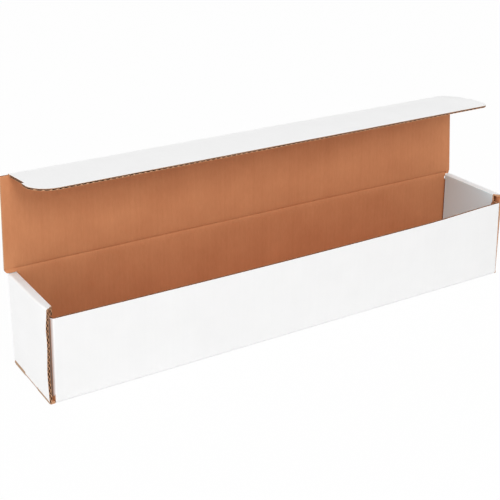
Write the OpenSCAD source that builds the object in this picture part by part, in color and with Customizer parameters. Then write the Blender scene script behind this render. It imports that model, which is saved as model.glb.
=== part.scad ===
// Long corrugated mailer box: a one-piece folded tray with rolled-over ends,
// a hinged lid and a tuck flap along the lid's free edge.
// The origin is at the middle of the base's underside, the length runs along X,
// the front wall faces -Y and the lid hinges at the top of the back wall.

/* [Board] */
// Thickness of the corrugated board
board = 3; // [2:0.1:4.5]
// Outer radius of the folds around the base
fold_r = 2; // [1:0.1:2.8]
// Room between a hinged panel and what it turns against
gap = 0.4; // [0.3:0.05:0.8]

/* [Tray] */
// Outer length
length = 630; // [300:1:900]
// Outer width, front wall to back wall
width = 104; // [70:0.5:200]
// Height of the front wall
front_h = 97.5; // [60:0.5:160]
// Height of the two rolled ends
end_h = 110; // [70:0.5:180]
// How far the front wall's free edge bows out at mid-length
bow = 4.2; // [0:0.1:4.5]
// How far each end leans in at its top
end_lean = 2; // [0:0.1:6]
// Thickness of a rolled end, outer panel to inner panel
roll = 9.8; // [9.5:0.1:16]
// Radius of the folds along the top of a rolled end
roll_r = 2.6; // [1:0.1:2.9]
// Setback of the front and back walls' ends from the outer face of an end
wall_inset = 6.4; // [4:0.1:7]
// Distance over which a dust flap slants from its wall to the end's outer panel
dust_turn = 9; // [4:0.5:20]
// Reach of a dust flap along the end
dust_reach = 44; // [20:0.5:50]
// Height of the rear dust flaps
dust_back_h = 103; // [50:0.5:104]
// Setback of an end's outer panel from the faces of the front and back walls
end_setback = 0.6; // [0:0.1:2]
// Setback of the rolled-in panel from the face of the front wall
inner_front = 9; // [5:0.5:20]
// Setback of the rolled-in panel from the face of the back wall
inner_back = 4.5; // [3.5:0.5:15]
// Cut corner at the top of the rolled-in panel, next to the back wall
inner_cut = 5; // [1:0.5:12]

/* [Lock tabs] */
// Depth of the slots along the foot of each end
slot_depth = 1; // [0.5:0.1:2]
// Length of the front slot
slot_front_l = 34; // [10:0.5:40]
// Height of the front slot
slot_front_h = 3.6; // [2:0.1:8]
// Length of the rear slot
slot_back_l = 31; // [10:0.5:40]
// Height of the rear slot
slot_back_h = 5.4; // [2:0.1:8]
// Distance from the slots to the front and back corners
slot_margin = 2; // [1:0.1:6]

/* [Lid] */
// Length of the lid
lid_length = 624; // [290:1:890]
// How far the lid sits to one side
lid_shift = -2; // [-3:0.1:3]
// Depth of the lid, hinge crease to flap crease
lid_depth = 108; // [72:0.1:200]
// How far the open lid leans forward, degrees
lid_lean = 0.5; // [-80:0.5:5]
// Width of the cut corners at the hinge
hinge_cut_w = 5; // [0.5:0.5:12]
// Height of the cut corners at the hinge
hinge_cut_h = 10; // [0.5:0.5:20]

/* [Tuck flap] */
// Depth of the tuck flap
flap_depth = 73; // [40:0.5:90]
// Angle inside the fold between lid and flap, degrees
flap_fold = 93; // [50:0.5:180]
// Setback of the flap's ends from the ends of the lid
flap_inset = 11.5; // [11:0.5:30]
// How far each end of the flap narrows towards its step
notch_w = 3; // [0.5:0.5:8]
// Distance from the crease to the step
notch_l = 38; // [10:0.5:40]
// Radius of the flap's free corners
corner_r = 27; // [5:0.5:32]
// Part of the thickness that stays outside the crushed score
score_edge = 0.9; // [0.7:0.1:1]
// Width of the crushed score along the lid's inner face
score_w = 3.8; // [3:0.1:6]

/* [Colours] */
// White outer liner
white = [0.94, 0.94, 0.93];
// Brown inner liner
kraft = [0.72, 0.48, 0.33];

/* [Hidden] */
$fn = 48;

half_turn = 180;
quarter_turn = 90;
whole_share = 1;
cut_over = board;

front_y = -width / 2;
back_y = width / 2;
end_x = -length / 2;
hinge_y = back_y - board / 2;
hinge_z = end_h + gap + board / 2;
back_h = hinge_z - board / 2 - gap;
dust_x = board + gap;
wall_half = length / 2 - wall_inset;
lid_half = lid_length / 2;
lid_edge = lid_depth - board / 2 - gap;
flap_half = lid_half - flap_inset;
notch_end = min(notch_l, flap_depth - corner_r - gap);
wall_steps = 24;
fold_steps = 4;

// Lean of an end at height z
function lean_at(z) = end_lean * z / end_h;

// Bow of the front wall's free edge at share s of its half-length
function bow_at(s) = bow * cos(quarter_turn * s);

// Angle of fold point k along the lower front fold
function fold_a(k) = quarter_turn * k / fold_steps;

// Section of the front wall as [y, z, share of the bow]
wall_section = concat(
    [for (k = [0:fold_steps])
        [front_y + fold_r * (whole_share - sin(fold_a(k))), fold_r * (whole_share - cos(fold_a(k))), 0]],
    [[front_y, front_h, whole_share],
     [front_y + board, front_h, whole_share],
     [front_y + board, 0, 0]]);
wall_n = len(wall_section);

// Share of the half-length at station i, from one end to the other
function station(i) = 2 * i / wall_steps - whole_share;

// Point of the front wall for section point q at station share s
function wall_point(s, q) = [s * (wall_half - lean_at(q[1])), q[0] - bow_at(s) * q[2], q[1]];

// Index of section point j at station i
function wall_i(i, j) = i * wall_n + j % wall_n;

// Front wall, straight along the base and bowed along its free edge
module front_wall() {
    points = [for (i = [0:wall_steps]) for (q = wall_section) wall_point(station(i), q)];
    sides = [for (i = [0:wall_steps - 1]) for (j = [0:wall_n - 1]) for (t = [0, 1])
        t == 0 ? [wall_i(i, j), wall_i(i, j + 1), wall_i(i + 1, j + 1)]
               : [wall_i(i, j), wall_i(i + 1, j + 1), wall_i(i + 1, j)]];
    first = [for (j = [wall_n - 1:-1:0]) wall_i(0, j)];
    last = [for (j = [0:wall_n - 1]) wall_i(wall_steps, j)];
    polyhedron(points = points, faces = concat([first, last], sides), convexity = 4);
}

// Outline drawn in X and Z, given depth from y0 to y1
module along_y(y0, y1) {
    translate([0, y1, 0])
        rotate([quarter_turn, 0, 0])
            linear_extrude(y1 - y0)
                children();
}

// Outline drawn in Y and Z, given length l about the middle
module along_x(l) {
    rotate([quarter_turn, 0, quarter_turn])
        linear_extrude(l, center = true)
            children();
}

// Round bar of radius r along X
module bar_x(r, l) {
    rotate([0, quarter_turn, 0])
        cylinder(r = r, h = l, center = true);
}

// Round bar of radius r along Y from y0 to y1
module bar_y(r, y0, y1) {
    translate([0, y1, 0])
        rotate([quarter_turn, 0, 0])
            cylinder(r = r, h = y1 - y0);
}

// Panel of an end that leans with it, between x0 and x1 from the outer face
module lean_panel(x0, x1, z0, z1, y0, y1) {
    along_y(y0, y1)
        polygon([[end_x + x0 + lean_at(z0), z0],
                 [end_x + x1 + lean_at(z0), z0],
                 [end_x + x1 + lean_at(z1), z1],
                 [end_x + x0 + lean_at(z1), z1]]);
}

// Base and back wall, with a round fold between them
module base_and_back() {
    translate([end_x + fold_r, front_y + fold_r, 0])
        cube([length - 2 * fold_r, width - 2 * fold_r, board]);
    translate([0, back_y - fold_r, fold_r])
        bar_x(fold_r, 2 * wall_half);
    along_y(back_y - board, back_y)
        polygon([[-wall_half, fold_r],
                 [wall_half, fold_r],
                 [wall_half - lean_at(back_h), back_h],
                 [-wall_half + lean_at(back_h), back_h]]);
}

// Outer panel of an end, with the fold at its foot
module end_outer() {
    y0 = front_y + end_setback;
    y1 = back_y - end_setback;
    lean_panel(0, board, fold_r, end_h - roll_r, y0, y1);
    translate([end_x + fold_r, 0, fold_r])
        bar_y(fold_r, y0, y1);
}

// Slots at the foot of an end, where the tabs show
module end_slots() {
    translate([end_x - cut_over, front_y + slot_margin, -cut_over])
        cube([cut_over + slot_depth, slot_front_l, cut_over + slot_front_h]);
    translate([end_x - cut_over, back_y - slot_margin - slot_back_l, -cut_over])
        cube([cut_over + slot_depth, slot_back_l, cut_over + slot_back_h]);
}

// Rolled top and rolled-in panel of an end, before their ends are cut
module end_roll() {
    top_x = end_x + lean_at(end_h);
    for (x = [roll_r, roll - roll_r])
        translate([top_x + x, 0, end_h - roll_r])
            bar_y(roll_r, front_y, back_y);
    translate([top_x + roll_r, front_y, end_h - board])
        cube([roll - 2 * roll_r, width, board]);
    lean_panel(roll - board, roll, 0, end_h - roll_r, front_y, back_y);
}

// Plan of the rolled top, narrower at the rolled-in panel
module roll_plan() {
    reach = roll + end_lean;
    polygon([[end_x - cut_over, front_y + end_setback],
             [end_x + board + end_lean, front_y + end_setback],
             [end_x + reach - board, front_y + inner_front],
             [end_x + reach + cut_over, front_y + inner_front],
             [end_x + reach + cut_over, back_y - inner_back],
             [end_x + reach - board, back_y - inner_back],
             [end_x + board + end_lean, back_y - end_setback],
             [end_x - cut_over, back_y - end_setback]]);
}

// Plan of the rolled-in panel below the roll
module inner_plan() {
    translate([end_x, front_y + inner_front])
        square([roll + end_lean + cut_over, width - inner_front - inner_back]);
}

// Cut corner of the rolled-in panel, next to the back wall
module inner_corner() {
    y1 = back_y - inner_back;
    z1 = end_h - board;
    translate([end_x + roll - board / 2 + end_lean, 0, 0])
        along_x(board + end_lean)
            polygon([[y1 + cut_over, z1 - inner_cut - cut_over],
                     [y1, z1 - inner_cut],
                     [y1 - inner_cut, z1],
                     [y1 - inner_cut, z1 + gap],
                     [y1 + cut_over, z1 + gap]]);
}

// Plan of a front dust flap as [x from the outer face, y], from the wall's corner
dust_plan = [
    [wall_inset, front_y],
    [dust_x, front_y + dust_turn],
    [dust_x, front_y + dust_reach],
    [dust_x + board, front_y + dust_reach],
    [dust_x + board, front_y + dust_turn + board / 2],
    [wall_inset + board, front_y + board]];

// Dust flap of height h that leans with its end
module dust_flap(h) {
    n = len(dust_plan);
    low = [for (p = dust_plan) [end_x + p[0], p[1], 0]];
    high = [for (p = dust_plan) [end_x + p[0] + lean_at(h), p[1], h]];
    sides = [for (j = [0:n - 1]) [j, (j + 1) % n, n + (j + 1) % n, n + j]];
    halves = [[0, 1, 4, 5], [1, 2, 3, 4]];
    under = [for (q = halves) [q[3], q[2], q[1], q[0]]];
    over = [for (q = halves) [for (j = q) n + j]];
    polyhedron(points = concat(low, high), faces = concat(under, over, sides), convexity = 4);
}

// Front and rear dust flaps, folded in between the panels of an end
module dust_flaps() {
    dust_flap(front_h);
    mirror([0, 1, 0])
        dust_flap(dust_back_h);
}

// One end: outer panel, rolled top, rolled-in panel and the dust flaps inside
module end_panel() {
    difference() {
        end_outer();
        end_slots();
    }
    difference() {
        intersection() {
            end_roll();
            union() {
                translate([0, 0, end_h - 2 * roll_r])
                    linear_extrude(2 * roll_r + cut_over)
                        roll_plan();
                linear_extrude(end_h - roll_r)
                    inner_plan();
            }
        }
        inner_corner();
    }
    dust_flaps();
}

// Folded tray
module tray() {
    color(white) {
        difference() {
            base_and_back();
            for (m = [0, 1])
                mirror([m, 0, 0])
                    end_slots();
        }
        front_wall();
        for (m = [0, 1])
            mirror([m, 0, 0])
                end_panel();
    }
}

// Lid panel standing on its hinge crease, inner face towards -Y
module lid_panel() {
    difference() {
        union() {
            bar_x(board / 2, lid_length - 2 * hinge_cut_w);
            along_y(-board / 2, board / 2)
                polygon([[-lid_half + hinge_cut_w, 0],
                         [lid_half - hinge_cut_w, 0],
                         [lid_half, hinge_cut_h],
                         [lid_half, lid_edge],
                         [-lid_half, lid_edge],
                         [-lid_half, hinge_cut_h]]);
        }
        along_x(lid_length + cut_over)
            polygon([[board / 2 - score_edge, lid_edge],
                     [-board / 2, lid_edge - score_w],
                     [-board / 2 - cut_over, lid_edge - score_w],
                     [-board / 2 - cut_over, lid_edge + cut_over],
                     [board / 2 - score_edge, lid_edge + cut_over]]);
    }
}

// Lid, open as it stands
module lid() {
    color(kraft)
        translate([lid_shift, hinge_y, hinge_z])
            rotate([lid_lean, 0, 0])
                lid_panel();
}

// Outline of the tuck flap, its crease along X
module flap_outline() {
    waist = flap_half - notch_w;
    polygon([[-flap_half, 0], [flap_half, 0], [waist, notch_end], [-waist, notch_end]]);
    translate([-flap_half, notch_end])
        square([2 * flap_half, flap_depth - corner_r - notch_end]);
    translate([-flap_half + corner_r, notch_end])
        square([2 * (flap_half - corner_r), flap_depth - notch_end]);
    for (s = [-1, 1])
        translate([s * (flap_half - corner_r), flap_depth - corner_r])
            circle(r = corner_r);
}

// Tuck flap, folded forward from the lid's free edge
module tuck_flap() {
    color(white)
        translate([lid_shift, hinge_y, hinge_z])
            rotate([lid_lean, 0, 0])
                translate([0, 0, lid_depth])
                    rotate([half_turn - flap_fold, 0, 0]) {
                        bar_x(board / 2, 2 * flap_half);
                        along_y(-board / 2, board / 2)
                            flap_outline();
                    }
}

tray();
lid();
tuck_flap();
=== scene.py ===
"""Corrugated mailer box, dressed.

Every panel is a sheet of single-wall board: a white outer liner, a brown inner
liner and a fluted medium between them. Sizes are in millimetres, as in the part's
source, and become metres where a mesh is made.
"""

import logging
import math
from collections.abc import Callable, Sequence
from dataclasses import dataclass, field
from enum import Enum
from typing import Any, ClassVar

import bpy
import numpy as np
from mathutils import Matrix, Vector


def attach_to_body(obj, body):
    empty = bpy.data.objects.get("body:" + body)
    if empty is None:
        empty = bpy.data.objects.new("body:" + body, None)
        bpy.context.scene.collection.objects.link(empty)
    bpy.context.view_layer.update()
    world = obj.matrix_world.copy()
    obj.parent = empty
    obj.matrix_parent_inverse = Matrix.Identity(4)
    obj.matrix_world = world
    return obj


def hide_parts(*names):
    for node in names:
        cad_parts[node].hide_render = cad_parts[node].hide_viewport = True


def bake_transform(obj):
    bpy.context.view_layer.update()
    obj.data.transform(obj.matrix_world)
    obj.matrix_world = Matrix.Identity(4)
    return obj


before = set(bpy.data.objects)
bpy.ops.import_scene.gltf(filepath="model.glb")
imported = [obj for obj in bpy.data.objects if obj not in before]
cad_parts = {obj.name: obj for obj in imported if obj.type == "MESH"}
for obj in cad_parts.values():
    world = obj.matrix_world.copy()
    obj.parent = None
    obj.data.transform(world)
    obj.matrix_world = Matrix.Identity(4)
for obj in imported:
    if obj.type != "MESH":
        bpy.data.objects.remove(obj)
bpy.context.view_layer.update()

LOG = logging.getLogger("mailer_box")
MM = 0.001
TINY = 1e-6
WELD = 2e-6
QUARTER = math.pi / 2
SHARP_ANGLE = math.radians(38)
Pair = tuple[float, float]
Triple = tuple[float, float, float]
WHITE: Triple = (1.0, 1.0, 1.0)


class Side(Enum):
    """The two ends of the box, with the sign of X on which each stands."""

    LEFT = -1
    RIGHT = 1


class Wall(Enum):
    """The two long walls, with the sign of Y on which each stands."""

    FRONT = -1
    BACK = 1


class Attr(str, Enum):
    """Names of the values that a sheet carries at each point."""

    OUTWARD = "outward"
    CALIPER = "caliper"
    FILL = "fill"
    ACROSS = "flute_u"
    ALONG = "flute_v"
    # Wear that rubs the liner to tan; past a higher level it adds grime that mostly paints shade.
    WEAR = "wear"
    # Share of a painted cool light tint on the box's inner white faces.
    COOL = "cool"


class Slot(str, Enum):
    """The record's material slots."""

    TRAY = "tray_board"
    LID = "lid_board"
    FLAP = "flap_board"


def srgb(*display: int) -> Triple:
    """Turns display values into a linear colour.

    Args:
        display: Red, green and blue from 0 to 255.

    Returns:
        The linear colour.
    """
    share = np.array(display) / 255
    curve = ((share + 0.055) / 1.055) ** 2.4
    return tuple(np.where(share <= 0.04045, share / 12.92, curve).tolist())


def smooth(share: np.ndarray) -> np.ndarray:
    """Eases a share between 0 and 1 at both ends."""
    held = np.clip(share, 0, 1)
    return held * held * (3 - 2 * held)


def maths_operator(operation: str, reflected: bool = False) -> Callable[["Value", Any], "Value"]:
    """Makes an operator that adds a Math node.

    Args:
        operation: The node's operation.
        reflected: Whether the value itself stands second.

    Returns:
        The operator, as a method.
    """
    def apply(self: "Value", other: Any) -> "Value":
        """Adds the node."""
        return self.maths(operation, *((other, self) if reflected else (self, other)))

    return apply


class Value:
    """One output of a node, with the operators that the sums here need."""

    __add__, __radd__ = maths_operator("ADD"), maths_operator("ADD", True)
    __sub__, __rsub__ = maths_operator("SUBTRACT"), maths_operator("SUBTRACT", True)
    __mul__, __rmul__ = maths_operator("MULTIPLY"), maths_operator("MULTIPLY", True)
    __truediv__, __rtruediv__ = maths_operator("DIVIDE"), maths_operator("DIVIDE", True)

    def __init__(self, graph: "Graph", socket: bpy.types.NodeSocket) -> None:
        """Keeps the socket and the graph that it belongs to."""
        self.graph = graph
        self.socket = socket

    def out(self, key: str | int) -> "Value":
        """Gives another output of the same node."""
        return Value(self.graph, self.socket.node.outputs[key])

    def maths(self, operation: str, first: Any, second: Any = 0.0) -> "Value":
        """Adds a Math node for two values or numbers."""
        return self.graph.node("ShaderNodeMath", {0: first, 1: second}, operation=operation)

    def sine(self) -> "Value":
        """Takes the sine of an angle in radians."""
        return self.maths("SINE", self)

    def at_least(self, least: float) -> "Value":
        """Holds the value at or above a number."""
        return self.maths("MAXIMUM", self, least)

    def scaled(self, factor: Any) -> "Value":
        """Scales a vector by a value or a number."""
        return self.graph.node("ShaderNodeVectorMath", {0: self, 3: factor}, operation="SCALE")


class Graph:
    """A node tree that is written through one method."""

    def __init__(self, tree: bpy.types.NodeTree) -> None:
        """Keeps the tree."""
        self.tree = tree

    def feed(self, socket: bpy.types.NodeSocket, value: Any) -> None:
        """Gives a socket its value or its links.

        Args:
            socket: The input to feed.
            value: A number, colour, name, data block, Value, or list of Values.
        """
        for one in value if isinstance(value, list) else [value]:
            if isinstance(one, Value):
                self.tree.links.new(one.socket, socket)
            elif socket.type == "RGBA" and len(one) == 3:
                socket.default_value = (*one, 1.0)
            else:
                socket.default_value = one

    def node(self, kind: str, inputs: dict[str | int, Any] | None = None, **settings: Any) -> Value:
        """Adds a node.

        Args:
            kind: The node's type.
            inputs: Values or links of its sockets, by name or number.
            settings: Properties to set first; stops sets a colour ramp.

        Returns:
            The node's first output that is in use.
        """
        made = self.tree.nodes.new(kind)
        for name, value in settings.items():
            if name == "stops":
                for stop, (place, colour) in zip(made.color_ramp.elements, value):
                    stop.position, stop.color = place, (*colour, 1.0)
            else:
                setattr(made, name, value)
        for key, value in (inputs or {}).items():
            self.feed(made.inputs[key], value)
        shown = [s for s in made.outputs if s.enabled]
        return Value(self, shown[0]) if shown else Value(self, made.inputs[0])

    def mix(self, share: Any, low: Any, high: Any) -> Value:
        """Mixes two colours by a share between 0 and 1."""
        return self.node("ShaderNodeMix", {0: share, 6: low, 7: high}, data_type="RGBA").out(2)

    def attribute(self, name: Attr) -> Value:
        """Reads a number that the sheet carries."""
        return self.node("ShaderNodeAttribute", attribute_name=name.value).out("Fac")

    def plan(self, across: Value, along: Value) -> Value:
        """Joins two numbers into a place on the sheet."""
        return self.node("ShaderNodeCombineXYZ", {"X": across, "Y": along})

    def noise(self, place: Value, scale: float, detail: float, roughness: float = 0.55) -> Value:
        """Adds a soft random pattern."""
        return self.node("ShaderNodeTexNoise", {"Vector": place, "Scale": scale, "Detail": detail,
                                                "Roughness": roughness})


def weighed(values: Sequence[Value], shares: Sequence[float]) -> Value:
    """Adds values, each of them times its share."""
    return sum((v * s for v, s in zip(values[1:], shares[1:])), values[0] * shares[0])


def shader_graph(name: str) -> tuple[bpy.types.Material, Graph]:
    """Starts an empty material.

    Args:
        name: The material's name.

    Returns:
        The material and its graph.
    """
    material = bpy.data.materials.new(name)
    material.use_nodes = True
    material.node_tree.nodes.clear()
    return material, Graph(material.node_tree)


@dataclass(frozen=True)
class BoardStock:
    """Single-wall board as it is bought."""

    thickness: float = 3.0
    liner: float = 0.34
    medium: float = 0.26
    pitch: float = 6.5
    samples: int = 8

    @property
    def step(self) -> float:
        """Distance between the points that follow one flute."""
        return self.pitch / self.samples


@dataclass(frozen=True)
class PaperFinish:
    """Surface of a paper liner that the flutes behind it show through.

    Bands and flecks have a scale across the flutes, one along them and a level of detail.
    Clouds and the paper's tooth have one scale and a level of detail.
    """

    name: str
    light: Triple
    dark: Triple
    worn: Triple
    # Grime colour, which mostly paints shade in the dust flaps' gaps and along the ends' foot.
    grime_and_shade: Triple
    roughness: float
    fleck_share: float
    relief: float
    pitch: float
    # A cool tint painted on the box's inner white faces, standing in for neutral light there against the
    # brown light reflected from the kraft.
    cool: Triple = WHITE
    cool_share: float = 0.0
    band_share: float = 0.2
    # Share of the flute wave in the colour: painted shade of the washboard ridges.
    painted_washboard_shade: float = 0.03
    bands: Triple = (150.0, 7.0, 2.0)
    flecks: Triple = (620.0, 115.0, 3.0)
    clouds: Pair = (26.0, 3.0)
    tooth: Pair = (1900.0, 2.0)
    tones: Pair = (0.28, 0.72)
    # Levels where wear rubs the liner, and where the grime that mostly paints shade starts.
    wear_from: Pair = (0.35, 1.15)
    wear_run: float = 0.3
    wear_fleck: float = 0.5
    bump_shares: tuple[float, ...] = (0.06, 0.1, 0.12, 0.25)
    bump_depth: float = 0.0005
    roughness_spread: float = 0.12
    sheen: float = 0.3

    def material(self) -> bpy.types.Material:
        """Builds the material.

        Returns:
            The material.
        """
        material, graph = shader_graph(self.name)
        across, along = graph.attribute(Attr.ACROSS), graph.attribute(Attr.ALONG)
        place = graph.node("ShaderNodeTexCoord").out("Object")
        flute = (across * (2 * math.pi / (self.pitch * MM))).sine() * 0.5 + 0.5
        bands, fleck = (graph.noise(graph.plan(across * wide, along * tall), 1.0, detail)
                        for wide, tall, detail in (self.bands, self.flecks))
        cloud, tooth = (graph.noise(place, *pattern) for pattern in (self.clouds, self.tooth))
        # The flute wave also lightens and darkens the colour a little: painted shade of the washboard
        # ridges, on top of their bump.
        shares = (self.band_share, self.fleck_share, self.painted_washboard_shade)
        tone = weighed((bands, fleck, flute, cloud), (*shares, 1 - sum(shares)))
        stops = zip(self.tones, (self.dark, self.light))
        plain = graph.node("ShaderNodeValToRGB", {0: tone}, stops=stops)
        # Painted cool light: the white turns bluish by the sheet's share, against the brown light
        # reflected inside the box.
        paper = graph.mix(graph.attribute(Attr.COOL) * self.cool_share, plain, self.cool)
        # Real wear rubs the liner to tan; higher values mix in grime, mostly painted shade in gaps and
        # along the foot.
        wear = graph.attribute(Attr.WEAR) + (fleck - 0.5) * self.wear_fleck
        rub, shade_and_soil = (graph.node("ShaderNodeMapRange", {
            "Value": wear, "From Min": low, "From Max": low + self.wear_run}) for low in self.wear_from)
        height = weighed((flute, fleck, tooth, cloud), self.bump_shares)
        bump = graph.node("ShaderNodeBump", {"Strength": self.relief, "Distance": self.bump_depth,
                                             "Height": height})
        shader = graph.node("ShaderNodeBsdfPrincipled", {
            "Base Color": graph.mix(shade_and_soil, graph.mix(rub, paper, self.worn), self.grime_and_shade),
            "Roughness": self.roughness + (tooth - 0.5) * self.roughness_spread,
            "Specular IOR Level": self.sheen, "Normal": bump})
        graph.node("ShaderNodeOutputMaterial", {"Surface": shader})
        return material


@dataclass(frozen=True)
class CutFinish:
    """Raw paper where the board is cut, and the medium inside it.

    Fuzz and blots have a scale and a level of detail.
    """

    name: str
    light: Triple
    dark: Triple
    fuzz: Pair = (850.0, 3.0)
    blots: Pair = (60.0, 2.0)
    shares: Pair = (0.6, 0.4)
    tones: Pair = (0.3, 0.7)
    relief: float = 0.4
    bump_depth: float = 0.0003
    roughness: float = 0.82
    roughness_spread: float = 0.14
    sheen: float = 0.2

    def material(self) -> bpy.types.Material:
        """Builds the material.

        Returns:
            The material.
        """
        material, graph = shader_graph(self.name)
        place = graph.node("ShaderNodeTexCoord").out("Object")
        fuzz, blots = (graph.noise(place, *pattern) for pattern in (self.fuzz, self.blots))
        stops = zip(self.tones, (self.dark, self.light))
        colour = graph.node("ShaderNodeValToRGB", {0: weighed((fuzz, blots), self.shares)}, stops=stops)
        bump = graph.node("ShaderNodeBump", {"Strength": self.relief, "Distance": self.bump_depth,
                                             "Height": fuzz})
        shader = graph.node("ShaderNodeBsdfPrincipled", {
            "Base Color": colour, "Roughness": self.roughness + fuzz * self.roughness_spread,
            "Specular IOR Level": self.sheen, "Normal": bump})
        graph.node("ShaderNodeOutputMaterial", {"Surface": shader})
        return material


@dataclass
class Finishes:
    """The four finishes of the board."""

    white: bpy.types.Material
    kraft: bpy.types.Material
    cut: bpy.types.Material
    # medium is painted dark, for the shade inside the flutes.
    medium: bpy.types.Material

    @classmethod
    def of_stock(cls, stock: BoardStock) -> "Finishes":
        """Makes the materials.

        Args:
            stock: The board, for the spacing of its flutes.

        Returns:
            The finishes.
        """
        white = PaperFinish("white_liner", srgb(245, 245, 245), srgb(241, 241, 241),
                            worn=srgb(206, 150, 108), grime_and_shade=srgb(160, 152, 146),
                            roughness=0.52, fleck_share=0.15, relief=0.05, pitch=stock.pitch,
                            # The white's cool tint is painted light for the box's inner white faces.
                            cool=srgb(222, 246, 254), cool_share=1.0)
        kraft = PaperFinish("kraft_liner", srgb(216, 148, 103), srgb(199, 130, 87),
                            worn=srgb(178, 146, 118), grime_and_shade=srgb(120, 78, 52),
                            roughness=0.8, fleck_share=0.3, relief=0.22, pitch=stock.pitch)
        cut = CutFinish("cut_edge", srgb(214, 168, 132), srgb(186, 134, 98))
        # The medium's colour is darkened well below the kraft's, to paint the shade inside the flutes'
        # hollows.
        medium = CutFinish("fluting_painted_dark", srgb(100, 66, 46), srgb(72, 46, 32))
        return cls(*(finish.material() for finish in (white, kraft, cut, medium)))


@dataclass(frozen=True)
class BoxSizes:
    """Sizes that the pieces share, in millimetres, as in the part's source."""

    length: float = 630.0
    width: float = 104.0
    front_h: float = 97.5
    end_h: float = 110.0
    board: float = 3.0
    fold_r: float = 2.0
    gap: float = 0.4
    bow: float = 4.2
    end_lean: float = 2.0
    wall_inset: float = 6.4
    lid_shift: float = -2.0
    lid_half: float = 312.0
    lid_depth: float = 108.0
    lid_lean: float = math.radians(0.5)
    crease_half: float = 3.0
    hinge_half: float = 4.0
    crease_ends: Pair = (-303.0, 303.7)
    score: float = 1.1
    score_below: float = 2.2
    score_above: float = 1.6
    score_rise: Pair = (2.9, 1.3)
    droop: float = 3.2
    droop_from: float = 283.0
    droop_run: float = 19.5
    droop_power: float = 1.4
    base_clear: float = 0.3

    @property
    def front_y(self) -> float:
        """Outer face of the front wall."""
        return -self.width / 2

    @property
    def end_x(self) -> float:
        """Outer face of the left end."""
        return -self.length / 2

    @property
    def wall_half(self) -> float:
        """Half the length of the long walls at their foot."""
        return self.length / 2 - self.wall_inset

    @property
    def hinge_y(self) -> float:
        """Lid's axis across the box."""
        return self.width / 2 - self.board / 2

    @property
    def hinge_z(self) -> float:
        """Lid's axis above the floor."""
        return self.end_h + self.gap + self.board / 2

    @property
    def base_top(self) -> float:
        """Height at which flaps stand clear of the base."""
        return self.board + self.base_clear

    def lean_at(self, z: np.ndarray | float) -> np.ndarray | float:
        """How far an end leans in at height z."""
        return self.end_lean * z / self.end_h

    def droop_at(self, x: np.ndarray) -> np.ndarray:
        """How far the lid's head sinks at its right corner, x from the lid's middle."""
        share = np.clip((x - self.droop_from) / self.droop_run, 0, 1)
        return self.droop * share ** self.droop_power

    def on_lid(self, x: np.ndarray, out: np.ndarray, up: np.ndarray) -> np.ndarray:
        """Places points that are given in the lid's own frame.

        Args:
            x: Distance along the hinge from the lid's middle.
            out: Distance outwards from the lid's mid-plane.
            up: Distance from the hinge axis.

        Returns:
            The points in the box's frame.
        """
        cos, sin = math.cos(self.lid_lean), math.sin(self.lid_lean)
        return np.stack([x + self.lid_shift, self.hinge_y + out * cos - up * sin,
                         self.hinge_z + out * sin + up * cos], axis=-1)

    def scored(self, reach: np.ndarray) -> np.ndarray:
        """Thickness of the board near a crease, which is pressed in from its inner side.

        Args:
            reach: Distance past the line of the score.

        Returns:
            The thickness there.
        """
        fade = np.where(reach < 0, self.score_below, self.score_above)
        return self.board - self.score * np.exp(-np.abs(reach) / fade)

    def hinge_score(self, x: np.ndarray, up: np.ndarray) -> np.ndarray:
        """Thickness near the lid's crease, whose score runs a little above the hinge axis.

        Args:
            x: Place along the box.
            up: Distance above the axis.

        Returns:
            The thickness there.
        """
        return self.scored(up - np.interp(x, self.crease_ends, self.score_rise))


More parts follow.
